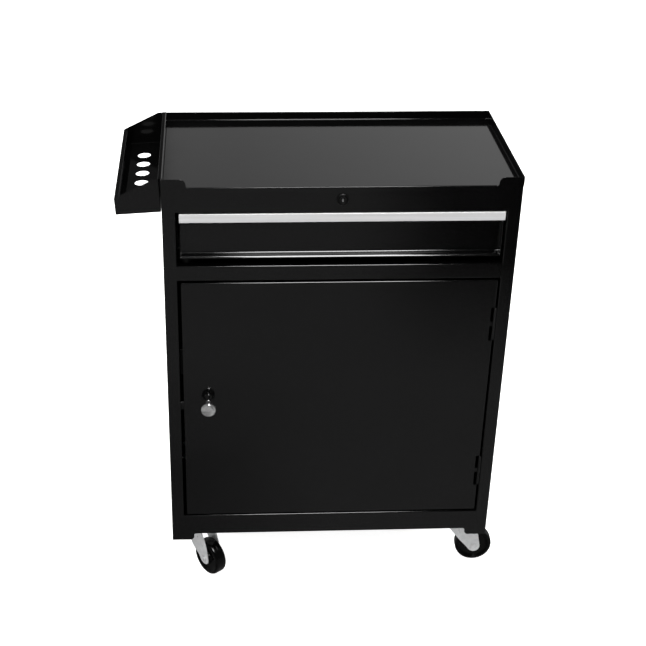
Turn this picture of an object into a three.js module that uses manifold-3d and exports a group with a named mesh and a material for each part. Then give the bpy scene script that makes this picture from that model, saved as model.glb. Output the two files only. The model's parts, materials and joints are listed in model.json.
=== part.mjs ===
// Rolling tool cart: a sheet-steel cabinet with one drawer and one door, a rimmed worktop,
// a perforated side tray hooked over the left rim, a cam lock and four swivel casters.
// Millimetres. +Z is up, the front faces -Y, and the left side is at -X.
// The cabinet is built with z = 0 at the bottom of its feet, then lifted onto its casters.

import * as THREE from 'three';
import { mergeVertices } from 'three/addons/utils/BufferGeometryUtils.js';
import Module from 'manifold-3d';

const wasm = await Module();
wasm.setup();

// ---------------------------------------------------------------- driving dimensions

const WIDTH = 520;
const DEPTH = 281;
const TOP = 637; // foot to the top of the rims
const FOOT_HEIGHT = 74.5; // ground to foot
const SHEET = 1;
const GAP = 0.3; // between pieces that touch on the real object

const HALF = WIDTH / 2;
const FRONT = -DEPTH / 2;
const BACK = DEPTH / 2;

const FLOOR_TOP = 624; // worktop surface and top edge of the front rail
const SKIRT = 12.4; // lower edge of the panels between the feet
const FOOT_FLAT = 29; // width of a foot's flat end
const EAR_FLAT = 27; // width of a front corner's flat top
const EAR_ROUND = 8.5;
const STILE = 19.5; // width of the front frame's uprights

const DRAWER_OPENING = { z0: 500.6, z1: 585, depth: 12 };
const DOOR_OPENING = { z0: 49, z1: 476.6, depth: 25 };
const OPENING_HALF = HALF - STILE;

const RIM = 2; // thickness of the worktop's hemmed rims
const RIM_PROUD = 1.2; // how far they stand outside the panels

const LOCK_Z = 605;
const LOCK_HOLE = 7.3;

const DRAWER_LEFT = -235.4;
const DRAWER_RIGHT = 236.5;
const DRAWER_RECESS = 12; // finger pull behind the trim strip
const STRIP_RIGHT = 238;
const BOX_HALF = 227.5;
const BOX_FLOOR = 510;
const BOX_TOP = 571;
const BOX_BACK = 118;

const SLIDE_Z = 545;
const SLIDE_HALF = 125;

const DOOR = { x0: -235.4, x1: 237.8, z0: 51.5, z1: 473, depth: 15 };
const HINGE_X = 237.9;
const HINGE_Y = FRONT + 1.2;
const HINGE_Z = [129, 398]; // centres of the lower and upper hinge
const HINGE_LENGTH = 54;
const KNOB = { x: -197.5, z: 267 };

const TRAY = { width: 65.3, outer: 25.4, inner: 50, flat: 8.1, hem: 6.3, sheet: 0.8, droop: 3.4 };
const TRAY_HOLES = { radius: 10.25, first: 39, pitch: 37.4, count: 6 };

const CASTER_IN_X = 42.7; // kingpin, in from the cabinet's side
const CASTER_IN_Y = 38.5; // kingpin, in from the front or back
const CASTER_TOP = 12.7; // top of the mounting plate above the foot
const TRAIL = 31.6;
const WHEEL_RADIUS = 30.75;
const WHEEL_HALF = 10.5;
const AXLE_Z = WHEEL_RADIUS - FOOT_HEIGHT;

// Direction in which each caster trails, in degrees from +X towards +Y.
const CASTERS = [
  { name: 'front_left', sx: -1, sy: -1, yaw: -52.5 },
  { name: 'front_right', sx: 1, sy: -1, yaw: -2.3 },
  { name: 'rear_left', sx: -1, sy: 1, yaw: -20 },
  { name: 'rear_right', sx: 1, sy: 1, yaw: 165 },
];

// ---------------------------------------------------------------- materials

function material(color, roughness, metalness) {
  return new THREE.MeshStandardMaterial({ color, roughness, metalness });
}

const blackPaint = () => material(0x17181a, 0.25, 0.1);
const zincPlate = () => material(0xb9bcc0, 0.4, 0.9);
const blackZinc = () => material(0x1b1c1e, 0.35, 0.6);
const brightAluminium = () => material(0xd9dadc, 0.3, 0.9);
const chrome = () => material(0xe2e4e6, 0.12, 1.0);
const blackPlastic = () => material(0x0b0b0c, 0.3, 0.0);
const rubberMat = () => material(0x141414, 0.9, 0.0);

// ---------------------------------------------------------------- solids

function toSolid(geometry) {
  const bare = geometry.clone();
  bare.deleteAttribute('normal');
  bare.deleteAttribute('uv');
  const merged = mergeVertices(bare, 1e-4);
  const mesh = new wasm.Mesh({
    numProp: 3,
    vertProperties: Float32Array.from(merged.attributes.position.array),
    triVerts: Uint32Array.from(merged.index.array),
  });
  return new wasm.Manifold(mesh);
}

function toGeometry(solid) {
  const mesh = solid.getMesh();
  const geometry = new THREE.BufferGeometry();
  geometry.setAttribute('position', new THREE.BufferAttribute(mesh.vertProperties, 3));
  geometry.setIndex(new THREE.BufferAttribute(mesh.triVerts, 1));
  geometry.computeVertexNormals();
  return geometry;
}

function join(...geometries) {
  return toGeometry(geometries.map(toSolid).reduce((a, b) => a.add(b)));
}

function cut(geometry, ...tools) {
  return toGeometry(tools.map(toSolid).reduce((a, b) => a.subtract(b), toSolid(geometry)));
}

function block(x0, x1, y0, y1, z0, z1) {
  const geometry = new THREE.BoxGeometry(x1 - x0, y1 - y0, z1 - z0);
  return geometry.translate((x0 + x1) / 2, (y0 + y1) / 2, (z0 + z1) / 2);
}

function shapeOf(points) {
  return new THREE.Shape(points.map(([a, b]) => new THREE.Vector2(a, b)));
}

// Extrusions of a closed outline along each axis. The outline's own axes are
// (y, z) along X, (x, z) along Y and (x, y) along Z.
function extrude(points, length) {
  return new THREE.ExtrudeGeometry(shapeOf(points), { depth: length, bevelEnabled: false });
}

function alongX(points, x0, x1) {
  const turn = new THREE.Matrix4().makeBasis(
    new THREE.Vector3(0, 1, 0),
    new THREE.Vector3(0, 0, 1),
    new THREE.Vector3(1, 0, 0),
  );
  return extrude(points, x1 - x0).applyMatrix4(turn).translate(x0, 0, 0);
}

function alongY(points, y0, y1) {
  return extrude(points, y1 - y0).rotateX(Math.PI / 2).translate(0, y1, 0);
}

function alongZ(points, z0, z1) {
  return extrude(points, z1 - z0).translate(0, 0, z0);
}

// Turned parts: [radius, height] pairs from bottom to top, about Z.
function turned(profile, segments = 24) {
  const points = profile.map(([r, z]) => new THREE.Vector2(r, z));
  return new THREE.LatheGeometry(points, segments).rotateX(Math.PI / 2);
}

// The same, with the profile's heights running along +Y.
function turnedY(profile, segments = 24) {
  return turned(profile, segments).rotateX(-Math.PI / 2);
}

function ring(inner, outer, z0, z1, segments = 24) {
  return turned([[inner, z0], [outer, z0], [outer, z1], [inner, z1], [inner, z0]], segments);
}

function rod(radius, z0, z1, segments = 16) {
  return turned([[0, z0], [radius, z0], [radius, z1], [0, z1]], segments);
}

// Outline of a bent sheet: the given path is one face, and the other face lies
// `thickness` to its left (to its right when negative).
function bentSheet(path, thickness) {
  const normals = path.slice(1).map(([x, y], i) => {
    const dx = x - path[i][0];
    const dy = y - path[i][1];
    const length = Math.hypot(dx, dy);
    return [-dy / length, dx / length];
  });
  const offset = path.map(([x, y], i) => {
    const a = normals[Math.max(i - 1, 0)];
    const b = normals[Math.min(i, normals.length - 1)];
    const scale = thickness / (1 + a[0] * b[0] + a[1] * b[1]);
    return [x + (a[0] + b[0]) * scale, y + (a[1] + b[1]) * scale];
  });
  return path.concat(offset.reverse());
}

function arc(cx, cy, radius, from, to, steps) {
  return Array.from({ length: steps + 1 }, (_, i) => {
    const angle = THREE.MathUtils.degToRad(from + ((to - from) * i) / steps);
    return [cx + radius * Math.cos(angle), cy + radius * Math.sin(angle)];
  });
}

// ---------------------------------------------------------------- the assembly

const cart = new THREE.Group();
const cabinet = new THREE.Group();
cabinet.position.z = FOOT_HEIGHT;
cart.add(cabinet);

function add(name, geometry, finish, parent = cabinet) {
  const mesh = new THREE.Mesh(geometry, finish);
  mesh.name = name;
  parent.add(mesh);
  return mesh;
}

// ---------------------------------------------------------------- panels

// A corner that steps from a flat end at (x0, z0) to an edge at z1: a convex
// round, a short upright and a small fillet.
const FOOT_ROUND = 6.5;
const STEP_FILLET = 3;

function cornerStep(x0, z0, z1, sx, radius) {
  const sz = Math.sign(z1 - z0);
  const round = arc(0, 0, radius, 0, 90, 4).map(([c, s]) => [x0 + sx * s, z0 + sz * (radius - c)]);
  const x1 = x0 + sx * (radius + STEP_FILLET);
  const fillet = arc(0, 0, STEP_FILLET, 0, 90, 3)
    .map(([c, s]) => [x1 - sx * c, z1 - sz * (STEP_FILLET - s)]);
  return round.concat(fillet);
}

// Lower edge of a panel, left to right: a foot at each end and the skirt between.
function footedEdge(half) {
  const flat = half - FOOT_FLAT;
  const left = cornerStep(-flat, 0, SKIRT, 1, FOOT_ROUND);
  const right = cornerStep(flat, 0, SKIRT, -1, FOOT_ROUND).reverse();
  return [[-half, 0], ...left, ...right, [half, 0]];
}

// An opening's edge is folded back into the cabinet.
function openingRing(opening) {
  return block(
    -OPENING_HALF - SHEET, OPENING_HALF + SHEET,
    FRONT, FRONT + SHEET + opening.depth,
    opening.z0 - SHEET, opening.z1 + SHEET,
  );
}

function openingHole(opening) {
  return block(-OPENING_HALF, OPENING_HALF, FRONT - 1, FRONT + 50, opening.z0, opening.z1);
}

function frontFrame() {
  const flat = HALF - EAR_FLAT;
  const rightEar = cornerStep(flat, TOP, FLOOR_TOP, -1, EAR_ROUND);
  const leftEar = cornerStep(-flat, TOP, FLOOR_TOP, 1, EAR_ROUND).reverse();
  const outline = [...footedEdge(HALF), [HALF, TOP], ...rightEar, ...leftEar, [-HALF, TOP]];
  const plate = alongY(outline, FRONT, FRONT + SHEET);
  const flanged = join(plate, openingRing(DRAWER_OPENING), openingRing(DOOR_OPENING));
  const lockHole = turnedY([[0, -5], [LOCK_HOLE, -5], [LOCK_HOLE, 5], [0, 5]], 20)
    .translate(0, FRONT, LOCK_Z);
  return cut(flanged, openingHole(DRAWER_OPENING), openingHole(DOOR_OPENING), lockHole);
}

const PANEL_TOP = FLOOR_TOP - SHEET - GAP;
const SIDE_FLANGE = 15;

function sidePanel(side) {
  const half = BACK - SHEET - GAP;
  const web = alongX([...footedEdge(half), [half, PANEL_TOP], [-half, PANEL_TOP]], HALF - SHEET, HALF);
  const flange = (y) => block(HALF - SIDE_FLANGE - SHEET, HALF, y, y + SHEET, 0, PANEL_TOP);
  const panel = join(web, flange(-half), flange(half - SHEET));
  return side > 0 ? panel : panel.rotateZ(Math.PI);
}

function backPanel() {
  return alongY([...footedEdge(HALF), [HALF, PANEL_TOP], [-HALF, PANEL_TOP]], BACK - SHEET, BACK);
}

function worktop() {
  const out = HALF + RIM_PROUD;
  const y0 = FRONT + SHEET + GAP;
  const y1 = BACK + RIM_PROUD;
  const z0 = FLOOR_TOP - SHEET;
  const tray = cut(
    block(-out, out, y0, y1, z0, TOP),
    block(-out + RIM, out - RIM, y0 - 1, y1 - RIM, FLOOR_TOP, TOP + 1),
  );
  return join(tray, block(-240, 240, y0, y0 + SHEET, z0 - 7, z0 + SHEET / 2));
}

function pan(x0, x1, y0, y1, zFlat, zEdge) {
  const up = zEdge > zFlat;
  const outer = block(x0, x1, y0, y1, Math.min(zFlat, zEdge), Math.max(zFlat, zEdge));
  const z0 = up ? zFlat + SHEET : zEdge - 1;
  const z1 = up ? zEdge + 1 : zFlat - SHEET;
  return cut(outer, block(x0 + SHEET, x1 - SHEET, y0 + SHEET, y1 - SHEET, z0, z1));
}

const INNER = HALF - SHEET - GAP;
const BOTTOM_Z = CASTER_TOP + GAP;
const SHELF_TOP = 250;
const SHELF_EDGE = 14;

function shelfRail(side) {
  const z = SHELF_TOP - SHELF_EDGE - GAP;
  const angle = bentSheet([[INNER, z - 14], [INNER, z], [INNER - 15, z]], SHEET);
  const rail = alongY(angle, -110, 134);
  return side > 0 ? rail : rail.rotateZ(Math.PI).translate(0, 24, 0);
}

add('front_frame', frontFrame(), blackPaint());
add('left_side_panel', sidePanel(-1), blackPaint());
add('right_side_panel', sidePanel(1), blackPaint());
add('back_panel', backPanel(), blackPaint());
add('worktop', worktop(), blackPaint());
add('bottom_panel', pan(-INNER, INNER, FRONT + 2.6, BACK - 2.6, BOTTOM_Z, BOTTOM_Z + 20), blackPaint());
add('shelf', pan(-256, 256, -112, 136, SHELF_TOP, SHELF_TOP - SHELF_EDGE), blackPaint());
add('left_shelf_rail', shelfRail(-1), blackPaint());
add('right_shelf_rail', shelfRail(1), blackPaint());

// ---------------------------------------------------------------- drawer and its slides

// Front of the drawer, in (depth behind the cabinet's front, z): a flange under the trim
// strip, a recessed face to reach behind, and a rounded lip along the bottom.
const FLANGE_TOP = 582.4;
const FLANGE_BACK = 26.5;
const LIP_Z = 516.6; // the ledge behind the lip
const LIP_FILLET = 3.6;
const LIP_ROLL = 6.8;
const FACE_TOP = { y: 2, z: 571 };

function drawerFrontPath() {
  return [
    [FLANGE_BACK, FLANGE_TOP],
    [FACE_TOP.y, FLANGE_TOP],
    [FACE_TOP.y, FACE_TOP.z],
    [DRAWER_RECESS, FACE_TOP.z - 8],
    ...arc(DRAWER_RECESS - LIP_FILLET, LIP_Z + LIP_FILLET, LIP_FILLET, 0, -90, 4),
    ...arc(LIP_ROLL, LIP_Z + 0.4 - LIP_ROLL, LIP_ROLL, 90, 157, 5),
  ].map(([y, z]) => [FRONT + y, z]);
}

function drawerFront() {
  const path = drawerFrontPath();
  const skin = alongX(bentSheet(path, SHEET), DRAWER_LEFT, DRAWER_RIGHT);
  const end = path.slice(2);
  const endPlate = (x) => alongX(end, x, x + SHEET);
  const keeperSlot = block(-20, 8, FRONT + 16, FRONT + 24, FLANGE_TOP - 5, FLANGE_TOP + 5);
  return cut(
    join(skin, endPlate(DRAWER_LEFT), endPlate(DRAWER_RIGHT - SHEET)),
    keeperSlot,
  );
}

// The strip is a crowned bar fixed to the flange's face.
function trimStrip() {
  const { back, front, z0, z1, chamfer } = { back: 1.7, front: -0.8, z0: 570, z1: 583.6, chamfer: 0.8 };
  const outline = [
    [back, z1], [front + chamfer, z1], [front, z1 - chamfer],
    [front, z0 + chamfer], [front + chamfer, z0], [back, z0],
  ].map(([y, z]) => [FRONT + y, z]);
  return alongX(outline, DRAWER_LEFT, STRIP_RIGHT);
}

const BOX_FRONT = FRONT + DRAWER_RECESS + SHEET + GAP;

const drawer = new THREE.Group();
cabinet.add(drawer);
add('drawer_front', drawerFront(), blackPaint(), drawer);
add('drawer_trim_strip', trimStrip(), brightAluminium(), drawer);
add('drawer_box', pan(-BOX_HALF, BOX_HALF, BOX_FRONT, BOX_BACK, BOX_FLOOR, BOX_TOP), blackPaint(), drawer);
add('drawer_liner', block(
  -BOX_HALF + 1.5, BOX_HALF - 1.5,
  BOX_FRONT + 1.5, BOX_BACK - 1.5,
  BOX_FLOOR + SHEET + GAP, BOX_FLOOR + SHEET + GAP + 2,
), rubberMat(), drawer);

// Each member is a channel: the web's outer face, how far the flanges reach from it
// (towards the middle of the cart when negative), the half height and the thickness.
const SLIDE_MEMBERS = [
  { name: 'cabinet_slide', web: 240.2, reach: -9.7, half: 22.5, thickness: 1.2 },
  { name: 'middle_slide', web: 238.4, reach: -7.9, half: 20.5, thickness: 1.2 },
  { name: 'drawer_slide', web: 227.8, reach: 8.8, half: 17.5, thickness: 1.2 },
];

function slideMember({ web, reach, half, thickness }, side) {
  const z0 = SLIDE_Z - half;
  const z1 = SLIDE_Z + half;
  const path = [[web + reach, z0], [web, z0], [web, z1], [web + reach, z1]];
  const member = alongY(bentSheet(path, thickness * -Math.sign(reach)), -SLIDE_HALF, SLIDE_HALF);
  return side > 0 ? member : member.rotateZ(Math.PI);
}

function slideBracket(side) {
  const face = OPENING_HALF + 0.1;
  const path = [[INNER, 519], [face, 519], [face, 571], [INNER, 571]];
  const bracket = alongY(bentSheet(path, -SHEET), -113.5, 136.5);
  return side > 0 ? bracket : bracket.rotateZ(Math.PI).translate(0, 23, 0);
}

for (const [word, side] of [['left', -1], ['right', 1]]) {
  add(`${word}_slide_bracket`, slideBracket(side), blackZinc());
  for (const member of SLIDE_MEMBERS) {
    add(`${word}_${member.name}`, slideMember(member, side), blackZinc());
  }
}

// ---------------------------------------------------------------- drawer lock

const CAM_Y = 18.7; // front face of the cam, behind the cabinet's front
const CAM_THICKNESS = 2;
const TAIL = 3; // radius of the core behind its barrel

const lock = new THREE.Group();
lock.position.set(0, FRONT, LOCK_Z);
cabinet.add(lock);

function lockHousing() {
  const bore = 4.9;
  return turnedY([
    [bore, -2.4], [8.2, -2.4], [9, -1.6], [9, -GAP], [7, -GAP], [7, 17.5], [bore, 17.5], [bore, -2.4],
  ]);
}

function lockNut() {
  const hexagon = turnedY([[0, SHEET + GAP], [10.4, SHEET + GAP], [10.4, 4.3], [0, 4.3]], 6);
  return cut(hexagon, turnedY([[0, 0], [LOCK_HOLE, 0], [LOCK_HOLE, 9], [0, 9]], 20));
}

function lockCore() {
  const tail = CAM_Y - 0.5;
  const core = turnedY([
    [0, -2.2], [4.6, -2.2], [4.6, tail], [TAIL, tail], [TAIL, CAM_Y + 2.4],
    [4.4, CAM_Y + 2.4], [4.4, CAM_Y + 4], [0, CAM_Y + 4],
  ]);
  return cut(core, block(-0.7, 0.7, -5, 3, -3.2, 3.2));
}

function lockCam() {
  const outline = [...arc(0, 0, 6, -90, 90, 8), [-23, 5], ...arc(-23, 0, 4.5, 120, 240, 4), [-23, -5]];
  const blade = alongY(outline, CAM_Y, CAM_Y + CAM_THICKNESS);
  return cut(blade, turnedY([[0, 0], [TAIL + GAP, 0], [TAIL + GAP, 40], [0, 40]], 20));
}

add('lock_housing', lockHousing(), blackPlastic(), lock);
add('lock_nut', lockNut(), zincPlate(), lock);
add('lock_core', lockCore(), blackZinc(), lock);
add('lock_cam', lockCam(), zincPlate(), lock);

// ---------------------------------------------------------------- door

const NOTCH = HINGE_LENGTH / 2 + 1;
const NOTCH_X = 231.3;

function doorPanel() {
  const pin = 2.3;
  const shell = cut(
    block(DOOR.x0, DOOR.x1, FRONT, FRONT + DOOR.depth, DOOR.z0, DOOR.z1),
    block(
      DOOR.x0 + SHEET, DOOR.x1 - SHEET,
      FRONT + SHEET, FRONT + DOOR.depth + 1,
      DOOR.z0 + SHEET, DOOR.z1 - SHEET,
    ),
  );
  const notches = HINGE_Z.map((z) => block(NOTCH_X, 240, FRONT - 1, FRONT + 20, z - NOTCH, z + NOTCH));
  const screwHole = turnedY([[0, -5], [pin, -5], [pin, 5], [0, 5]], 12).translate(KNOB.x, FRONT, KNOB.z);
  return cut(shell, ...notches, screwHole);
}

// Mushroom knob and the screw that holds it, with heights along +Y from the door's face.
function doorKnob() {
  return turnedY([
    [0, -27], [5, -26.9], [9.4, -26.5], [11, -25.4], [11.6, -23.8], [11.4, -22], [10.4, -20.6],
    [6.6, -19], [4.2, -17], [3.5, -14], [3.4, -2.6], [4, -1.2], [4, -GAP], [2.3, -GAP], [2.3, -12],
    [0, -12],
  ], 24);
}

function knobScrew() {
  return turnedY([[0, -10], [1.9, -10], [1.9, SHEET + GAP], [4.5, SHEET + GAP], [4, 4], [0, 4]], 16);
}

function doorStrike() {
  const base = block(-12, 12, SHEET + GAP, 2.3, -15, 15);
  const leg = block(-12, -10.8, SHEET + GAP, 16.4, -15, 15);
  const pad = block(-12, 6, 15.4, 16.4, -15, 15);
  return join(base, leg, pad);
}

const door = new THREE.Group();
cabinet.add(door);
add('door_panel', doorPanel(), blackPaint(), door);
add('door_knob', doorKnob().translate(KNOB.x, FRONT, KNOB.z), chrome(), door);
add('knob_screw', knobScrew().translate(KNOB.x, FRONT, KNOB.z), zincPlate(), door);

const CATCH_Z = 330;
add('door_strike', doorStrike().translate(-221.5, FRONT, CATCH_Z), blackZinc(), door);
add('magnetic_catch', block(
  -OPENING_HALF + GAP, -216,
  FRONT + 16.8, FRONT + 36,
  CATCH_Z - 22, CATCH_Z + 22,
), blackPlastic());

// Butt hinge about Z: outer knuckles and an angled leaf on the frame, a middle knuckle
// and a flat leaf on the door, and a loose pin.
const KNUCKLE = 2.4;
const PIN = 1.1;
const BORE = PIN + GAP;
const KNUCKLES = [[-27, -9.3], [-9, 9], [9.3, 26.8]];
const NECK_HALF = 4; // the door's leaf is narrow where it reaches its knuckle

function knuckle(tab, z0, z1) {
  return cut(join(rod(KNUCKLE, z0, z1, 20), tab), rod(BORE, z0 - 1, z1 + 1, 16));
}

function frameLeaf() {
  const wall = OPENING_HALF - GAP - HINGE_X;
  const back = 15.5;
  const bend = bentSheet([[0, KNUCKLE - SHEET], [wall, KNUCKLE - SHEET], [wall, 6]], SHEET);
  const ends = [KNUCKLES[0], KNUCKLES[2]].map(([z0, z1]) => knuckle(alongZ(bend, z0, z1), z0, z1));
  const plate = block(wall - SHEET, wall, 4.2, back, KNUCKLES[0][0], KNUCKLES[2][1]);
  return join(...ends, plate);
}

function doorLeaf() {
  const [z0, z1] = KNUCKLES[1];
  const y0 = FRONT + SHEET + GAP - HINGE_Y;
  const neck = block(-10, -1.7, y0, y0 + SHEET, -NECK_HALF, NECK_HALF);
  const plate = block(-28, -8, y0, y0 + SHEET, KNUCKLES[0][0], KNUCKLES[2][1]);
  return join(knuckle(neck, z0, z1), plate);
}

function hingePin() {
  const top = KNUCKLES[2][1] + GAP;
  return turned([[0, -27], [PIN, -27], [PIN, top], [2, top], [1.6, top + 0.6], [0, top + 0.6]], 12);
}

for (const [word, z] of [['lower', HINGE_Z[0]], ['upper', HINGE_Z[1]]]) {
  const hinge = new THREE.Group();
  hinge.position.set(HINGE_X, HINGE_Y, z);
  cabinet.add(hinge);
  add(`${word}_hinge_frame_leaf`, frameLeaf(), blackPaint(), hinge);
  add(`${word}_hinge_door_leaf`, doorLeaf(), blackPaint(), hinge);
  add(`${word}_hinge_pin`, hingePin(), blackPaint(), hinge);
}

// ---------------------------------------------------------------- side tray

// The tray hangs from the left rim by a hook and leans on the side panel below it, so it
// droops a little. Its own x runs towards the cabinet and its z up from its lowest fold.
function sideTray() {
  const { width, outer, inner, flat, hem, sheet } = TRAY;
  const trough = bentSheet(
    [[0, inner], [0, 0], [-width, 0], [-width, outer], [-width + hem, outer]],
    -sheet,
  );
  const hookReach = 4.45;
  const hook = bentSheet([[hookReach, inner - 6], [hookReach, inner], [0, inner], [0, inner - 8]], -sheet);
  const end = [[0, 0], [0, inner], [-flat, inner], [-width, outer], [-width, 0]].reverse();
  const body = join(
    alongY(trough, FRONT, BACK),
    alongY(hook, FRONT + SHEET + 2 * GAP, BACK - SHEET - 2 * GAP),
    alongY(end, FRONT, FRONT + sheet),
    alongY(end, BACK - sheet, BACK),
  );
  const { radius, first, pitch, count } = TRAY_HOLES;
  const holes = Array.from({ length: count }, (_, i) =>
    rod(radius, -2, 4, 24).translate(-width / 2, FRONT + first + i * pitch, 0));
  return cut(body, ...holes).translate(0, 0, -inner);
}

const trayLean = THREE.MathUtils.degToRad(TRAY.droop);
const tray = add('side_tray', sideTray(), blackPaint());
tray.position.set(-HALF - GAP - TRAY.inner * Math.sin(trayLean) - 0.05, 0, TOP + 0.35);
tray.rotation.y = -trayLean;

// ---------------------------------------------------------------- casters

const RACE_Z = -5; // under side of the raised ball race, below the plate's top
const FORK_TOP = RACE_Z - 0.4;
const FORK_SHEET = 2.2;
const LEG_IN = 12; // inside of the fork's legs at the axle
const HEAD_IN = 15.2; // and at its head, where they step out
const STEP_FROM = 6;
const STEP_TO = 18;
const WHEEL_DROP = AXLE_Z - CASTER_TOP; // axle below the plate's top

function casterPlate() {
  const halfX = 32;
  const halfY = 28;
  const round = 6;
  const corners = [[1, 1, 0], [-1, 1, 90], [-1, -1, 180], [1, -1, 270]];
  const outline = corners.flatMap(([sx, sy, from]) =>
    arc(sx * (halfX - round), sy * (halfY - round), round, from, from + 90, 2));
  const holes = corners.map(([sx, sy]) => rod(3.3, -10, 5, 8).translate(sx * 24, sy * 21, 0));
  const plate = join(alongZ(outline, -2, 0), ring(4.4, 16, RACE_Z, -1, 20));
  return cut(plate, rod(4.4, -10, 5, 16), rod(7.3, -1.2, 5, 16), ...holes);
}

function kingpin() {
  return turned([
    [0, -11.5], [5, -11.5], [7, -10.3], [7, -8], [4, -8], [4, -0.9], [7, -0.9], [7, 0], [0, 0],
  ], 16);
}

// Side of the fork, in (distance along the trail, z): wide at the top, swept back and
// tapering to a rounded tip around the axle.
function forkLeg() {
  const tip = arc(TRAIL, WHEEL_DROP, 10.5, 10, -132, 8);
  const top = FORK_TOP;
  return [
    [20, top], [27, top - 5], [33, top - 16], [38, top - 28],
    ...tip,
    [-8, top - 17], [-15, top - 8], [-16, top],
  ].reverse();
}

// Both legs from above: close to the wheel at the axle, and stepped out around the head.
function fork() {
  const path = [[-20, HEAD_IN], [STEP_FROM, HEAD_IN], [STEP_TO, LEG_IN], [TRAIL + 16, LEG_IN]];
  const side = toSolid(alongY(forkLeg(), -30, 30));
  const leg = (sy) => {
    const plan = bentSheet(path.map(([x, y]) => [x, sy * y]), sy * FORK_SHEET);
    const sheet = toSolid(alongZ(sy > 0 ? plan : plan.reverse(), WHEEL_DROP - 20, FORK_TOP));
    return toGeometry(sheet.intersect(side));
  };
  const half = HEAD_IN + FORK_SHEET;
  const tail = LEG_IN + FORK_SHEET;
  const bridge = alongZ([
    [-16, -half], [STEP_FROM, -half], [STEP_TO, -tail], [20, -tail],
    [20, tail], [STEP_TO, tail], [STEP_FROM, half], [-16, half],
  ], FORK_TOP - FORK_SHEET, FORK_TOP);
  const disc = rod(18.5, FORK_TOP - FORK_SHEET, FORK_TOP, 28);
  const axleHole = turnedY([[0, -30], [3.4, -30], [3.4, 30], [0, 30]], 16).translate(TRAIL, 0, WHEEL_DROP);
  return cut(join(leg(-1), leg(1), bridge, disc), axleHole, rod(4.4, -20, 0, 16));
}

function wheel() {
  const bore = 3.4;
  const side = [
    [10, 11.4], [12, 6.5], [22.5, 6.5], [25, WHEEL_HALF], [29.2, 9.6], [WHEEL_RADIUS, 6.2],
  ];
  const mirrored = side.map(([r, y]) => [r, -y]);
  return turnedY([[bore, -11.4], ...mirrored, ...side.reverse(), [bore, 11.4], [bore, -11.4]], 32);
}

function axle() {
  const end = LEG_IN + FORK_SHEET + GAP;
  return turnedY([
    [0, -end - 2.6], [4, -end - 2.6], [5.6, -end - 1.4], [5.6, -end], [3, -end],
    [3, end], [5.6, end], [5.6, end + 1.4], [4, end + 2.6], [0, end + 2.6],
  ], 16);
}

for (const { name, sx, sy, yaw } of CASTERS) {
  const mount = new THREE.Group();
  mount.position.set(sx * (HALF - CASTER_IN_X), sy * (BACK - CASTER_IN_Y), CASTER_TOP);
  cabinet.add(mount);
  add(`${name}_caster_plate`, casterPlate(), zincPlate(), mount);
  add(`${name}_kingpin`, kingpin(), zincPlate(), mount);

  const swivel = new THREE.Group();
  swivel.rotation.z = THREE.MathUtils.degToRad(yaw);
  mount.add(swivel);
  add(`${name}_fork`, fork(), zincPlate(), swivel);
  add(`${name}_axle`, axle(), zincPlate(), swivel).position.set(TRAIL, 0, WHEEL_DROP);
  add(`${name}_wheel`, wheel(), blackPlastic(), swivel).position.set(TRAIL, 0, WHEEL_DROP);
}

// Origin: on the ground, below the middle of the whole cart's box.
cart.updateMatrixWorld(true);
const extent = new THREE.Box3().setFromObject(cart, true);
cart.position.set(-(extent.min.x + extent.max.x) / 2, -(extent.min.y + extent.max.y) / 2, 0);

export default cart;
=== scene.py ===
import json
import math

import bmesh
import bpy
from mathutils import Euler, Matrix, Vector


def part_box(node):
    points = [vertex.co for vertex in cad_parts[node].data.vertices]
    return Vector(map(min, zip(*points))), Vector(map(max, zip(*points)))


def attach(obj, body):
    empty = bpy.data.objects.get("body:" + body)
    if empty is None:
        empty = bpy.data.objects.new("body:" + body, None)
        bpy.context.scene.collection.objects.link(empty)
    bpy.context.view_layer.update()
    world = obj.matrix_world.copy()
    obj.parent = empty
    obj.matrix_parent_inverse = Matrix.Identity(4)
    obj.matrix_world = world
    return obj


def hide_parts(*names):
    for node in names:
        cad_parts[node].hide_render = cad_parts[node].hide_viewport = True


# Looks of the rolling tool cart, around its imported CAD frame.
# Metres, +Z up, the front faces -Y. MM turns the object's own millimetres into metres.

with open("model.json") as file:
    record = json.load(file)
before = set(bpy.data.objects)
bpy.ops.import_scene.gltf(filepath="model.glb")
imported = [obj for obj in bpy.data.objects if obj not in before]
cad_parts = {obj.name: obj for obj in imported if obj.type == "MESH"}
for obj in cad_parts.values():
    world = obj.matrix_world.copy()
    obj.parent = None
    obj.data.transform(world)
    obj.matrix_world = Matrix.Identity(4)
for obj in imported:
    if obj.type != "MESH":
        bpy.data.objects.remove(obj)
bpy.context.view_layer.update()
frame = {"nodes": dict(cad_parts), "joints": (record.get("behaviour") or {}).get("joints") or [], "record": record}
MM = 0.001

# The cabinet's own corner: left side, front plane, bottom of the feet.
CABINET_LOW, CABINET_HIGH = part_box("front_frame")
CENTRE_X = (CABINET_LOW.x + CABINET_HIGH.x) / 2
FRONT_Y = CABINET_LOW.y
BACK_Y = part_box("back_panel")[1].y
FOOT_Z = CABINET_LOW.z

BODY_OF = {n: b for b, ns in frame["record"]["behaviour"]["bodies"].items() for n in ns}
SLOT_OF = {s["node"]: s["material_slot"] for s in frame["record"]["subparts"]}
JOINTS = {j["name"]: j for j in frame["joints"]}
CORNERS = ("front_left", "front_right", "rear_left", "rear_right")


def cabinet_point(x, y, z):
    """A point given in mm: x from the cabinet's middle, y behind its front plane, z above its feet."""
    return Vector((CENTRE_X + x * MM, FRONT_Y + y * MM, FOOT_Z + z * MM))


# ---------------------------------------------------------------- materials

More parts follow.
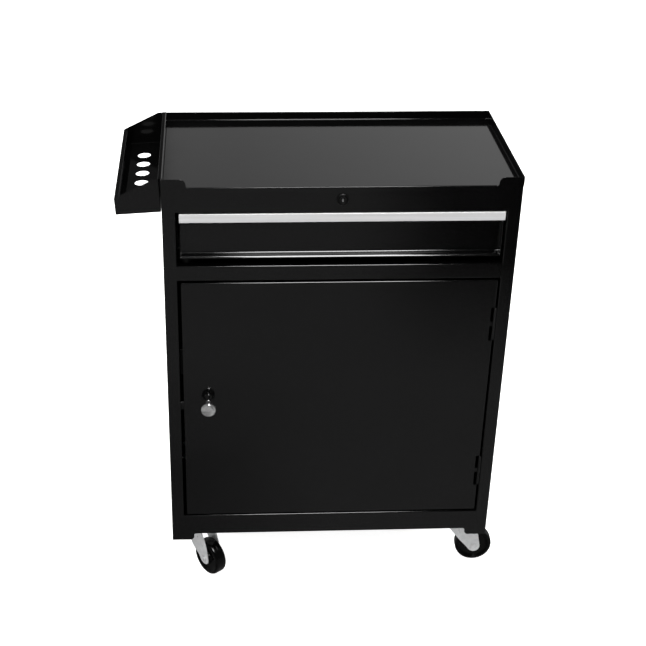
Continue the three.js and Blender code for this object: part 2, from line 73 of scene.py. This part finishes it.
def shader(name, **values):
    """A node material with one Principled shader; values set its own sockets."""
    mat = bpy.data.materials.new(name)
    mat.use_nodes = True
    bsdf = mat.node_tree.nodes["Principled BSDF"]
    for key, value in values.items():
        bsdf.inputs[key.replace("_", " ")].default_value = value
    return mat, mat.node_tree, bsdf


def grey(value, tint=(1.0, 1.0, 1.0)):
    """A near-grey colour as red, green, blue and alpha."""
    return (value * tint[0], value * tint[1], value * tint[2], 1.0)


def noise(tree, scale, detail=3.0, rough=0.5, stretch=(1, 1, 1)):
    """Noise in the object's own metres; scale is in features per metre."""
    coord = tree.nodes.new("ShaderNodeTexCoord")
    mapping = tree.nodes.new("ShaderNodeMapping")
    mapping.inputs["Scale"].default_value = stretch
    tex = tree.nodes.new("ShaderNodeTexNoise")
    tex.inputs["Scale"].default_value = scale
    tex.inputs["Detail"].default_value = detail
    tex.inputs["Roughness"].default_value = rough
    tree.links.new(coord.outputs["Object"], mapping.inputs["Vector"])
    tree.links.new(mapping.outputs["Vector"], tex.inputs["Vector"])
    return tex.outputs["Fac"]


def spread(tree, fac, low, high, from_low=0.3, from_high=0.7):
    """Maps a range of one value onto another, and holds it at the ends."""
    node = tree.nodes.new("ShaderNodeMapRange")
    node.inputs["From Min"].default_value = from_low
    node.inputs["From Max"].default_value = from_high
    node.inputs["To Min"].default_value = low
    node.inputs["To Max"].default_value = high
    tree.links.new(fac, node.inputs["Value"])
    return node.outputs["Result"]


def calculate(tree, operation, *values):
    """A maths node; each value is a socket or a plain number."""
    node = tree.nodes.new("ShaderNodeMath")
    node.operation = operation
    for socket, value in zip(node.inputs, values):
        if isinstance(value, (int, float)):
            socket.default_value = value
        else:
            tree.links.new(value, socket)
    return node.outputs[0]


def vary_colour(tree, bsdf, fac, low, high):
    """Runs the base colour from low to high as fac goes from 0 to 1."""
    mix = tree.nodes.new("ShaderNodeMix")
    mix.data_type = "RGBA"
    mix.inputs["A"].default_value = low
    mix.inputs["B"].default_value = high
    tree.links.new(fac, mix.inputs["Factor"])
    tree.links.new(mix.outputs["Result"], bsdf.inputs["Base Color"])


def bump(tree, bsdf, *layers):
    """Stacks (height, depth in metres) layers of bump on the shader."""
    normal = None
    for height, depth in layers:
        node = tree.nodes.new("ShaderNodeBump")
        node.inputs["Strength"].default_value = 1.0
        node.inputs["Distance"].default_value = depth
        tree.links.new(height, node.inputs["Height"])
        if normal is not None:
            tree.links.new(normal, node.inputs["Normal"])
        normal = node.outputs["Normal"]
    tree.links.new(normal, bsdf.inputs["Normal"])


def black_paint(name, tone=0.0011, rough=0.085, peel=1.2e-5):
    """Gloss black powder coat: orange peel, slow waviness, handling haze."""
    mat, tree, bsdf = shader(name)
    haze = noise(tree, 9, 4, 0.6)
    vary_colour(tree, bsdf, spread(tree, haze, 0, 1), grey(tone), grey(tone * 1.5, (1, 1, 1.05)))
    specks = spread(tree, noise(tree, 60, 5, 0.7), 0, rough * 0.3, 0.5, 0.8)
    rough_haze = spread(tree, haze, rough * 0.75, rough * 1.25)
    tree.links.new(calculate(tree, "ADD", rough_haze, specks), bsdf.inputs["Roughness"])
    bump(tree, bsdf, (noise(tree, 330, 2), peel), (noise(tree, 14, 1), peel * 6))
    return mat


def zinc(name, tone, metallic, rough):
    """Zinc plate on pressed steel: cloudy patches and fine rolling marks."""
    mat, tree, bsdf = shader(name, Metallic=metallic)
    cloud = noise(tree, 120, 4, 0.6)
    low = grey(tone * 0.84, (0.99, 1, 1.02))
    vary_colour(tree, bsdf, spread(tree, cloud, 0, 1), low, grey(tone))
    marks = noise(tree, 700, 2, 0.5, (1, 1, 0.12))
    tree.links.new(spread(tree, marks, rough * 0.8, rough * 1.25), bsdf.inputs["Roughness"])
    bump(tree, bsdf, (marks, 2e-6), (cloud, 3e-5))
    return mat


def drawn_aluminium(name):
    """Satin extrusion with fine lines along its length."""
    mat, tree, bsdf = shader(name, Metallic=0.45)
    lines = noise(tree, 900, 2, 0.5, (0.004, 1, 1))
    vary_colour(tree, bsdf, spread(tree, lines, 0, 1), grey(0.62), grey(0.7))
    tree.links.new(spread(tree, lines, 0.38, 0.48), bsdf.inputs["Roughness"])
    bump(tree, bsdf, (lines, 3e-6))
    return mat


def chrome(name):
    """Bright plate with faint smudges."""
    mat, tree, bsdf = shader(name, Metallic=0.94)
    smudge = noise(tree, 160, 4, 0.6)
    tree.links.new(spread(tree, smudge, 0.05, 0.14), bsdf.inputs["Roughness"])
    vary_colour(tree, bsdf, spread(tree, smudge, 0, 1), grey(0.8), grey(0.9))
    bump(tree, bsdf, (smudge, 6e-6))
    return mat


def moulded(name, tone, rough, grain=900, depth=8e-6, **values):
    """Moulded plastic or rubber with a fine grain and slightly dulled patches."""
    mat, tree, bsdf = shader(name, **values)
    patch = noise(tree, 45, 4, 0.6)
    vary_colour(tree, bsdf, spread(tree, patch, 0, 1), grey(tone), grey(tone * 1.8))
    tree.links.new(spread(tree, patch, rough * 0.8, rough * 1.3), bsdf.inputs["Roughness"])
    bump(tree, bsdf, (noise(tree, grain, 2), depth))
    return mat


FINISHES = {
    "black_paint": black_paint("black_powder_coat"),
    "zinc": zinc("bright_zinc_plate", tone=0.78, metallic=0.6, rough=0.34),
    # Black zinc plate whose near-black tone is partly the plating's own colour and partly painted shade: it stands
    # in for the shadow that falls on the slides in the gaps beside the drawer.
    "black_zinc": zinc("black_zinc_with_painted_gap_shade", tone=0.004, metallic=0.3, rough=0.4),
    "trim_aluminium": drawn_aluminium("drawn_aluminium"),
    "knob_chrome": chrome("chrome_plate"),
    "wheel_plastic": moulded("wheel_polypropylene", tone=0.0006, rough=0.13, IOR=1.3),
    "black_plastic": moulded("black_moulded_plastic", tone=0.0009, rough=0.42, IOR=1.3),
    "liner_foam": moulded("liner_foam_rubber", tone=0.012, rough=0.8, grain=400, depth=5e-5),
}

for node, obj in frame["nodes"].items():
    obj.data.materials.clear()
    obj.data.materials.append(FINISHES[SLOT_OF[node]])


# ---------------------------------------------------------------- mesh tools

def apply(obj, kind, **settings):
    """Adds a modifier and applies it straight away."""
    modifier = obj.modifiers.new(kind.title(), kind)
    for key, value in settings.items():
        setattr(modifier, key, value)
    with bpy.context.temp_override(object=obj, active_object=obj, selected_objects=[obj]):
        bpy.ops.object.modifier_apply(modifier=modifier.name)
    return obj


def smooth(obj, angle=35.0):
    """Smooth shading with sharp edges kept, and large flat faces kept flat."""
    bm = bmesh.new()
    bm.from_mesh(obj.data)
    limit = math.radians(angle)
    for face in bm.faces:
        face.smooth = True
    for edge in bm.edges:
        edge.smooth = len(edge.link_faces) == 2 and edge.calc_face_angle(0) < limit
    bm.to_mesh(obj.data)
    bm.free()
    return apply(obj, "WEIGHTED_NORMAL", keep_sharp=True, weight=100)


def linked(name, bm):
    """Turns a bmesh into an object in the scene."""
    mesh = bpy.data.meshes.new(name)
    bm.to_mesh(mesh)
    bm.free()
    obj = bpy.data.objects.new(name, mesh)
    bpy.context.scene.collection.objects.link(obj)
    return obj


def make(name, bm, slot, body, *nodes):
    """A piece that rides on a body, takes a slot's finish, and stands for CAD nodes if any are named."""
    bmesh.ops.recalc_face_normals(bm, faces=bm.faces)
    obj = linked(name, bm)
    obj.data.materials.append(FINISHES[slot])
    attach(obj, body)
    if nodes:
        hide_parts(*nodes)
    return obj


def stand_in(name, bm, node):
    """A smooth piece that takes a CAD node's place."""
    return smooth(make(name, bm, SLOT_OF[node], BODY_OF[node], node))


def carve(bm, *tools):
    """The bmesh with each tool's solid taken out of it."""
    body = linked("carved", bm)
    for tool in tools:
        cutter = linked("cutter", tool)
        apply(body, "BOOLEAN", operation="DIFFERENCE", solver="EXACT", object=cutter)
        bpy.data.objects.remove(cutter)
    result = bmesh.new()
    result.from_mesh(body.data)
    bpy.data.objects.remove(body)
    return result


def turned_to(at, axis, toward=(0, 0, 1)):
    """A placement at a point whose own Z is the axis and whose X leans toward a direction."""
    z = Vector(axis).normalized()
    y = z.cross(Vector(toward)).normalized()
    x = y.cross(z)
    return Matrix.Translation(at) @ Matrix((x, y, z)).transposed().to_4x4()


def placed(bm, matrix):
    """The bmesh, moved by a matrix."""
    bmesh.ops.transform(bm, matrix=matrix, verts=bm.verts)
    return bm


def revolve(profile, steps=96, closed=False):
    """A solid about Z from (radius, height) pairs in mm; its ends meet the axis, or each other if closed."""
    bm = bmesh.new()
    turns = [math.tau * i / steps for i in range(steps)]
    loops = []
    for radius, height in profile:
        around = turns if radius > 0 else turns[:1]
        corners = [(radius * MM * math.cos(a), radius * MM * math.sin(a), height * MM) for a in around]
        loops.append([bm.verts.new(corner) for corner in corners])
    pairs = list(zip(loops, loops[1:]))
    if closed:
        pairs.append((loops[-1], loops[0]))
    for low, high in pairs:
        for i in range(steps):
            j = i + 1
            ring = [low[i % len(low)], low[j % len(low)], high[j % len(high)], high[i % len(high)]]
            bm.faces.new(list(dict.fromkeys(ring)))
    return bm


def eased(points, cut, steps=3, closed=False):
    """The outline with each corner replaced by a short curve that starts cut mm from it."""
    result = []
    count = len(points)
    for i, point in enumerate(points):
        if not closed and i in (0, count - 1):
            result.append(tuple(point))
            continue
        corner = Vector(point)
        before = Vector(points[i - 1]) - corner
        after = Vector(points[(i + 1) % count]) - corner
        start = corner + before * min(cut / before.length, 0.45)
        end = corner + after * min(cut / after.length, 0.45)
        for k in range(steps + 1):
            t = k / steps
            result.append(tuple(start.lerp(corner, t).lerp(corner.lerp(end, t), t)))
    return result


def prism(outline, low, high):
    """A solid with a flat outline, in mm, between two heights along Z."""
    bm = bmesh.new()
    bottom = [bm.verts.new((x * MM, y * MM, low * MM)) for x, y in outline]
    top = [bm.verts.new((x * MM, y * MM, high * MM)) for x, y in outline]
    bm.faces.new(bottom)
    bm.faces.new(top)
    for i in range(len(outline)):
        j = (i + 1) % len(outline)
        bm.faces.new((bottom[i], bottom[j], top[j], top[i]))
    bmesh.ops.recalc_face_normals(bm, faces=bm.faces)
    return bm


# Turns a prism so that its outline lies in (y, z) and its length runs along X.
ALONG_X = Matrix(((0, 0, 1), (1, 0, 0), (0, 1, 0))).to_4x4()


def polygon(sides, radius):
    """A regular outline with its corners on a circle."""
    turns = [math.tau * (i + 0.5) / sides for i in range(sides)]
    return [(radius * math.cos(a), radius * math.sin(a)) for a in turns]


def rectangle(x, y, round_by=0.0):
    """An outline centred on the origin, with eased corners if round_by isn't zero."""
    corners = [(-x / 2, -y / 2), (x / 2, -y / 2), (x / 2, y / 2), (-x / 2, y / 2)]
    return eased(corners, round_by, 4, closed=True) if round_by else corners


def scattered(name, template, places, slot, body, *nodes):
    """One piece made of copies of a template, one at each placement."""
    pattern = bpy.data.meshes.new(name + "_pattern")
    template.to_mesh(pattern)
    bm = bmesh.new()
    for place in places:
        first = len(bm.verts)
        bm.from_mesh(pattern)
        bm.verts.ensure_lookup_table()
        bmesh.ops.transform(bm, matrix=place, verts=bm.verts[first:])
    bpy.data.meshes.remove(pattern)
    return smooth(make(name, bm, slot, body, *nodes))


# ---------------------------------------------------------------- bent and cut sheet

SEAM = math.radians(0.6)  # an edge turned less than this is only the mesh's, and is dissolved
FLAT = math.radians(1.0)  # two faces that meet at less than this are one flat side
BEND = math.radians(28.0)  # and at more than this they meet at an edge that gets rounded
WELD = 2e-6  # metres between corners that are the same one
TOUCH = 1e-7  # metres of rounding error in a distance
FAR = 1.0  # metres: more than any side's width
MOST_SEAMS = 40
ROUNDED_SHARE = 0.45  # of a side's width that a rounded edge may take


def clean_solid(node):
    """The CAD node's solid as a bmesh with its flat faces whole again."""
    bm = bmesh.new()
    bm.from_mesh(frame["nodes"][node].data)
    bmesh.ops.remove_doubles(bm, verts=bm.verts, dist=WELD)
    bmesh.ops.dissolve_limit(bm, angle_limit=SEAM, verts=bm.verts, edges=bm.edges)
    return bm


def reach(loop, share):
    """How far a flat side runs back from its edge, square to it, across seams that don't bend."""
    start, end = loop.vert.co, loop.link_loop_next.vert.co
    along = (end - start).normalized()
    inward = loop.face.normal.cross(along)
    origin = start.lerp(end, share)
    face, crossed, far = loop.face, loop.edge, 0.0
    for _ in range(MOST_SEAMS):
        nearest = None
        for other in face.loops:
            if other.edge is crossed:
                continue
            p = other.vert.co - origin
            q = other.link_loop_next.vert.co - origin
            p_along, q_along = p.dot(along), q.dot(along)
            if (p_along <= 0) == (q_along <= 0):
                continue
            out = p.dot(inward) - (q - p).dot(inward) * p_along / (q_along - p_along)
            if out > far - TOUCH and (nearest is None or out < nearest[0]):
                nearest = (out, other.edge)
        if nearest is None:
            return FAR
        far, crossed = nearest
        if len(crossed.link_faces) != 2 or crossed.calc_face_angle(0) > FLAT:
            return far
        face = next(f for f in crossed.link_faces if f is not face)
    return far


def round_for(edge, bend, fillet):
    """The radius an edge is rounded to: its bend's, or nearly half the narrower side if that is less."""
    if len(edge.link_faces) != 2 or edge.calc_face_angle(0) < BEND:
        return 0.0
    room = min(reach(loop, share) for loop in edge.link_loops for share in (0.1, 0.5, 0.9))
    return min((bend if edge.is_convex else fillet) * MM, ROUNDED_SHARE * room)


def formed(node, bend, fillet, segments=3):
    """A CAD node's own shape with the rounded folds and eased cut edges that pressed sheet has."""
    bm = clean_solid(node)
    weight = bm.edges.layers.float.new("bevel_weight_edge")
    widest = max(bend, fillet) * MM
    for edge in bm.edges:
        edge[weight] = round_for(edge, bend, fillet) / widest
    obj = make(node + "_formed", bm, SLOT_OF[node], BODY_OF[node], node)
    apply(
        obj, "BEVEL", width=widest, segments=segments, limit_method="WEIGHT", use_clamp_overlap=False,
    )
    return smooth(obj)


# Radii in mm of each piece's outside bends and inside corners.
SHEET_PARTS = {
    "front_frame": (1.6, 0.6), "worktop": (1.5, 1.0), "side_tray": (1.2, 0.5), "drawer_front": (1.5, 0.6),
    "door_panel": (1.8, 0.6), "left_side_panel": (1.5, 0.6), "right_side_panel": (1.5, 0.6),
    "back_panel": (0.5, 0.5), "bottom_panel": (1.5, 0.6), "shelf": (1.5, 0.6), "drawer_box": (1.2, 0.5),
    "left_shelf_rail": (1.2, 0.5), "right_shelf_rail": (1.2, 0.5),
    "left_slide_bracket": (1.2, 0.5), "right_slide_bracket": (1.2, 0.5),
    "left_cabinet_slide": (1.4, 0.6), "right_cabinet_slide": (1.4, 0.6),
    "left_middle_slide": (1.4, 0.6), "right_middle_slide": (1.4, 0.6),
    "left_drawer_slide": (1.4, 0.6), "right_drawer_slide": (1.4, 0.6),
    "door_strike": (0.8, 0.4), "magnetic_catch": (1.2, 0.4),
    "lock_nut": (0.5, 0.3), "lock_cam": (0.5, 0.3), "knob_screw": (0.4, 0.3),
    "lower_hinge_frame_leaf": (0.5, 0.3), "upper_hinge_frame_leaf": (0.5, 0.3),
    "lower_hinge_door_leaf": (0.4, 0.3), "upper_hinge_door_leaf": (0.4, 0.3),
    "lower_hinge_pin": (0.3, 0.2), "upper_hinge_pin": (0.3, 0.2),
}
for node, (bend, fillet) in SHEET_PARTS.items():
    formed(node, bend, fillet)
for corner in CORNERS:
    formed(corner + "_fork", 1.2, 1.5)
    formed(corner + "_caster_plate", 0.8, 1.0)


# ---------------------------------------------------------------- trim strip, knob and lock

def crowned_strip():
    """The trim strip: a bar with a gently crowned face, in (depth, height) from its own box."""
    low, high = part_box("drawer_trim_strip")
    depth, height = (high.y - low.y) / MM, (high.z - low.z) / MM
    crown, ease_by, corner, steps = 0.45, 0.5, 0.7, 12
    levels = [height * i / steps for i in range(steps + 1)]
    face = [(crown * (2 * z / height - 1) ** 2, z) for z in levels]
    face[0], face[-1] = (crown, ease_by), (crown, height - ease_by)
    outline = [(depth, 0), (crown + corner, 0), *face, (crown + corner, height), (depth, height)]
    bm = prism(eased(outline, ease_by, closed=True), 0, (high.x - low.x) / MM)
    placed(bm, Matrix.Translation(low) @ ALONG_X)
    stand_in("drawer_trim_strip_drawn", bm, "drawer_trim_strip")


def knob():
    """Mushroom knob: a slim stem that flares into a bevelled, slightly domed disc."""
    low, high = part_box("door_knob")
    at = Vector(((low.x + high.x) / 2, FRONT_Y, (low.z + high.z) / 2))
    profile = [
        (0, -27), (5, -26.9), (9.4, -26.5), (11, -25.4), (11.6, -23.8), (11.4, -22), (10.4, -20.6),
        (6.6, -19), (4.2, -17), (3.5, -14), (3.4, -2.6), (4, -1.2), (4, -0.3), (2.3, -0.3), (2.3, -12),
        (0, -12),
    ]
    bm = revolve(eased(profile, 1.6, 4))
    stand_in("door_knob_turned", placed(bm, turned_to(at, (0, 1, 0))), "door_knob")


def lock_set():
    """The lock's bezel, its dark plug with a keyway, and the bright wafers seen inside the keyway."""
    at = Vector(JOINTS["lock_turn"]["pos_m"])
    at.y = FRONT_Y
    place = turned_to(at, (0, 1, 0))
    bezel = eased([
        (4.9, -1.9), (5.5, -2.4), (7.8, -2.4), (9, -1.4), (9, -0.3), (7, -0.3), (7, 17.5), (4.9, 17.5),
    ], 0.35, 3, closed=True)
    stand_in("lock_housing_turned", placed(revolve(bezel, closed=True), place), "lock_housing")
    plug = eased([
        (0, -2.2), (4.6, -2.2), (4.6, 18.2), (3, 18.2), (3, 21.1), (4.4, 21.1), (4.4, 22.7), (0, 22.7),
    ], 0.4)
    keyway = placed(prism(rectangle(1.4, 6.4, 0.5), -5, 3), Matrix.Rotation(math.pi / 2, 4, "Z"))
    core = carve(revolve(plug, 64), keyway)
    stand_in("lock_core_turned", placed(core, place), "lock_core")
    wafers = placed(prism(rectangle(3.6, 1.2, 0.3), -1.6, 2.8), Matrix.Translation((-1.2 * MM, 0, 0)))
    smooth(make("lock_wafers", placed(wafers, place), "zinc", "lock_plug"))


crowned_strip()
knob()
lock_set()


# ---------------------------------------------------------------- casters

BOLT_X, BOLT_Y = 24, 21  # mm from the kingpin to each mounting bolt


def caster(corner):
    """Wheel, axle, kingpin, race shell, mounting bolts and nuts of one caster."""
    pin_at = Vector(JOINTS[corner + "_swivel"]["pos_m"])
    roll = JOINTS[corner + "_roll"]
    axle = turned_to(Vector(roll["pos_m"]), roll["axis"])

    side = [
        (10, 11.4), (11.6, 7.2), (13, 6.5), (21.6, 6.5), (23, 7), (24.4, 10.1), (25.4, 10.5), (26.2, 10.4),
        (26.5, 10.0), (26.9, 10.3), (28.7, 9.8), (29.9, 8.6), (30.6, 6.6), (30.75, 4.6), (30.75, 0.35),
        (30.55, 0.15),
    ]
    profile = [(3.4, -11.4)] + [(r, -y) for r, y in side] + side[::-1] + [(3.4, 11.4)]
    bm = placed(revolve(eased(profile, 0.5, 2, closed=True), closed=True), axle)
    stand_in(corner + "_wheel_moulded", bm, corner + "_wheel")

    end = 14.5
    rivet = eased([
        (0, -end - 2.6), (3, -end - 2.45), (4.8, -end - 1.7), (5.6, -end - 0.5), (5.6, -end), (3, -end),
        (3, end), (5.6, end), (5.6, end + 0.5), (4.8, end + 1.7), (3, end + 2.45), (0, end + 2.6),
    ], 0.4)
    stand_in(corner + "_axle_rivet", placed(revolve(rivet, 48), axle), corner + "_axle")

    plate_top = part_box(corner + "_kingpin")[1].z
    top = Matrix.Translation((pin_at.x, pin_at.y, plate_top))
    stake = eased([
        (0, -10.6), (2.2, -10.6), (2.8, -11.5), (5, -11.5), (7, -10.2), (7, -8), (4, -8), (4, -0.9),
        (7, -0.9), (7, 0), (0, 0),
    ], 0.5)
    stand_in(corner + "_kingpin_staked", placed(revolve(stake, 48), top), corner + "_kingpin")
    shell = eased([
        (16.3, -5.3), (18.4, -5.3), (18.4, -3.4), (17.5, -2.5), (16.9, -2.5), (16.3, -3.4),
    ], 0.5, closed=True)
    race = placed(revolve(shell, closed=True), top)
    smooth(make(corner + "_race_shell", race, "zinc", BODY_OF[corner + "_fork"]))

    head = eased([(0, -4.7), (2.6, -4.7), (4.6, -3.9), (5, -2.9), (5, -2.05), (0, -2.05)], 0.4)
    corners = [(x, y) for x in (-BOLT_X, BOLT_X) for y in (-BOLT_Y, BOLT_Y)]
    bolts = [top @ Matrix.Translation((x * MM, y * MM, 0)) for x, y in corners]
    scattered(corner + "_bolt_heads", revolve(head, 32), bolts, "zinc", "cabinet")
    nut = carve(prism(polygon(6, 5.7), 1.35, 5.6), revolve([(0, 0), (2.9, 0), (2.9, 9), (0, 9)], 24))
    scattered(corner + "_bolt_nuts", nut, bolts, "zinc", "cabinet")
    shank = revolve(eased([(0, -2.1), (2.8, -2.1), (2.8, 6.4), (2.2, 7.2), (0, 7.2)], 0.3), 24)
    scattered(corner + "_bolt_shanks", shank, bolts, "zinc", "cabinet")


for corner in CORNERS:
    caster(corner)


# ---------------------------------------------------------------- fasteners and fittings

def cross_head(radius, height):
    """A pan head whose face looks along +Z, with a cross recess."""
    outline = [(0, 0), (radius, 0), (radius, height * 0.45), (radius * 0.6, height), (0, height)]
    dome = revolve(eased(outline, 0.5), 32)
    long, narrow = radius * 1.1, radius * 0.26
    arms = [prism(rectangle(x, y), height * 0.35, height + 1) for x, y in ((long, narrow), (narrow, long))]
    return carve(dome, *arms)


def blind_rivet(radius, height):
    """A domed rivet head with the dimple that its mandrel leaves."""
    return revolve(eased([
        (0, height * 0.35), (radius * 0.28, height * 0.35), (radius * 0.36, height),
        (radius * 0.7, height * 0.8), (radius, height * 0.25), (radius, 0), (0, 0),
    ], 0.3), 32)


SLIDE_SHEET = 1.2 * MM
LEAF_BACK = 2.3 * MM  # how far the hinge leaf's inner side lies behind the cabinet's front plane
BACKWARDS = (0, 1, 0)


def back_rivets():
    """Rivets up both sides of the back panel, on its outside."""
    behind = Vector((0, BACK_Y - FRONT_Y, 0))
    places = [
        turned_to(cabinet_point(x, 0, z) + behind, BACKWARDS)
        for x in (-251, 251) for z in (40, 200, 360, 520, 600)
    ]
    scattered("back_panel_rivets", blind_rivet(3.0, 1.0), places, "black_paint", "cabinet")


def slide_screws(word, side):
    """Heads inside the cabinet's slide member and outside the drawer's; side is -1 on the left."""
    def screws(name, x, facing, depths, body):
        places = [turned_to((x, y, middle), (facing, 0, 0)) for y in depths]
        scattered(name, cross_head(2.6, 0.5), places, "black_zinc", body)

    low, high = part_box(word + "_cabinet_slide")
    middle = (low.z + high.z) / 2
    x = (low.x if side < 0 else high.x) - side * SLIDE_SHEET
    screws(word + "_slide_screws", x, -side, (low.y + 6 * MM, high.y - 6 * MM), "cabinet")

    low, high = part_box(word + "_drawer_slide")
    x = (high.x if side < 0 else low.x) + side * SLIDE_SHEET
    depths = (low.y + 20 * MM, low.y + 100 * MM, high.y - 20 * MM)
    screws(word + "_drawer_slide_screws", x, side, depths, "drawer")


def hinge_rivets(word):
    """Three rivets down the inside of a door leaf."""
    low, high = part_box(word + "_hinge_door_leaf")
    x, y = low.x + 8 * MM, FRONT_Y + LEAF_BACK
    places = [turned_to((x, y, low.z + share * (high.z - low.z)), BACKWARDS) for share in (0.15, 0.5, 0.85)]
    scattered(word + "_hinge_rivets", blind_rivet(2.6, 0.9), places, "black_paint", "door")


def catch_poles():
    """The two steel plates that the door's strike meets."""
    low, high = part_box("magnetic_catch")
    x, z = (low.x + high.x) / 2, (low.z + high.z) / 2
    places = [turned_to((x + step * MM, low.y, z), (0, -1, 0)) for step in (-2.6, 2.6)]
    scattered("magnetic_catch_poles", prism(rectangle(30, 1.4), -2, 0.25), places, "zinc", "cabinet")


back_rivets()
slide_screws("left", -1)
slide_screws("right", 1)
hinge_rivets("lower")
hinge_rivets("upper")
catch_poles()


# ---------------------------------------------------------------- drawer liner

def ribbed_liner():
    """A foam mat with fine ribs from side to side."""
    low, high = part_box("drawer_liner")
    width, depth, height = ((high - low) / MM)[:]
    pitch, rib_height, rib_foot, rib_top = 5.0, 0.7, 3.4, 2.2
    count = int(depth / pitch)
    edge = (depth - count * pitch) / 2
    valley = height - rib_height
    outline = [(0, 0), (depth, 0), (depth, valley)]
    half_foot, half_top = rib_foot / 2, rib_top / 2
    for i in range(count, 0, -1):
        middle = edge + (i - 0.5) * pitch
        outline += [(middle + half_foot, valley), (middle + half_top, height)]
        outline += [(middle - half_top, height), (middle - half_foot, valley)]
    outline.append((0, valley))
    bm = prism(outline, 0, width)
    placed(bm, Matrix.Translation(low) @ ALONG_X)
    stand_in("drawer_liner_ribbed", bm, "drawer_liner")


ribbed_liner()


# ---------------------------------------------------------------- stage, light and camera

def stage_floor():
    """A plain white sweep that glows a little, as a lit product table does. Gloss doesn't see it."""
    bm = bmesh.new()
    bmesh.ops.create_circle(bm, cap_ends=True, segments=96, radius=9.0)
    floor = linked("floor", bm)
    mat, tree, bsdf = shader("pale_floor", Roughness=0.9)
    bsdf.inputs["Emission Color"].default_value = grey(1.0)
    bsdf.inputs["Emission Strength"].default_value = 0.9
    vary_colour(tree, bsdf, noise(tree, 3, 3), grey(0.86), grey(0.9))
    floor.data.materials.append(mat)
    floor.visible_glossy = False


def studio_world():
    """Studio walls seen in the gloss: pale behind with one dark gap, dim above, below and in front."""
    world = bpy.data.worlds.new("studio")
    bpy.context.scene.world = world
    world.use_nodes = True
    tree = world.node_tree
    background = tree.nodes["Background"]
    background.inputs["Color"].default_value = (1, 1, 1, 1)
    coord = tree.nodes.new("ShaderNodeTexCoord")
    axes = tree.nodes.new("ShaderNodeSeparateXYZ")
    tree.links.new(coord.outputs["Generated"], axes.inputs[0])
    x, y, z = axes.outputs

    def ease(value, start, end):
        """0 before start, 1 past end."""
        return spread(tree, value, 0.0, 1.0, start, end)

    def product(*values):
        """All the values multiplied together, in order."""
        result = values[0]
        for value in values[1:]:
            result = calculate(tree, "MULTIPLY", result, value)
        return result

    def mixed(low, high, share):
        """low where share is 0, high where it is 1."""
        rise = calculate(tree, "SUBTRACT", high, low)
        return calculate(tree, "ADD", low, product(rise, share))

    # The wall behind the cart, from left to right.
    back = mixed(0.35, 0.04, ease(x, -0.45, -0.3))
    back = mixed(back, 0.4, ease(x, -0.05, -0.03))
    back = mixed(back, 0.6, ease(x, 0.02, 0.2))
    back = mixed(back, 0.7, ease(x, 0.2, 0.4))
    # All round: the wall in front, then the floor below and the ceiling above.
    wall = mixed(0.1, back, ease(y, -0.1, 0.1))
    level = mixed(0.24, wall, ease(z, -0.06, 0.04))
    level = mixed(level, 0.3, ease(z, 0.62, 0.8))
    # A dimmer part of the floor at the left, and a dark card in front at the right.
    shade = product(ease(x, 0.08, -0.02), ease(z, -0.5, -0.57))
    card = product(ease(x, 0.11, 0.17), ease(x, 0.4, 0.33), ease(z, -0.5, -0.42), ease(y, 0.0, -0.1))
    level = product(level, mixed(1.0, 0.5, shade), mixed(1.0, 0.03, card))
    seen = tree.nodes.new("ShaderNodeLightPath").outputs["Is Camera Ray"]
    tree.links.new(mixed(level, 1.2, seen), background.inputs["Strength"])


WATTS_PER_RADIANCE = 4  # for a square metre of an area light's face


def area_light(name, at, aim, size, radiance, diffuse, glossy):
    """An area light given by the brightness of its face, seen only by the named kinds of ray."""
    light = bpy.data.lights.new(name, "AREA")
    light.shape = "RECTANGLE"
    light.size, light.size_y = size
    light.energy = WATTS_PER_RADIANCE * radiance * size[0] * size[1]
    lamp = bpy.data.objects.new(name, light)
    bpy.context.scene.collection.objects.link(lamp)
    lamp.location = at
    lamp.rotation_euler = (Vector(at) - Vector(aim)).to_track_quat("Z", "Y").to_euler()
    lamp.visible_camera = False
    lamp.visible_diffuse = diffuse
    lamp.visible_glossy = glossy


CAMERA_AT = cabinet_point(-187.4, -1764.9, 1360.8)
CAMERA_TURN = (59.886, -0.664, -2.743)  # degrees: tilt, roll and heading
CAMERA_LENS = 74.36  # mm, on a sensor 36 mm wide
CAMERA_SHIFT = (0.0706, 0.0616)


def photo_camera():
    """The view that the photo was taken from."""
    data = bpy.data.cameras.new("camera")
    data.lens = CAMERA_LENS
    data.sensor_width = 36.0
    data.shift_x, data.shift_y = CAMERA_SHIFT
    camera = bpy.data.objects.new("camera", data)
    bpy.context.scene.collection.objects.link(camera)
    camera.location = CAMERA_AT
    camera.rotation_euler = Euler([math.radians(a) for a in CAMERA_TURN], "XYZ")
    bpy.context.scene.camera = camera


stage_floor()
studio_world()
area_light(
    "softbox", at=cabinet_point(124, -800, 1900), aim=cabinet_point(0, 0, 545),
    size=(0.5, 0.9), radiance=18.0, diffuse=False, glossy=True,
)
area_light(
    "overhead", at=cabinet_point(0, 0, 3200), aim=cabinet_point(0, 0, 0),
    size=(9.0, 9.0), radiance=1.6, diffuse=True, glossy=False,
)
photo_camera()
bpy.context.scene.view_settings.view_transform = "Standard"
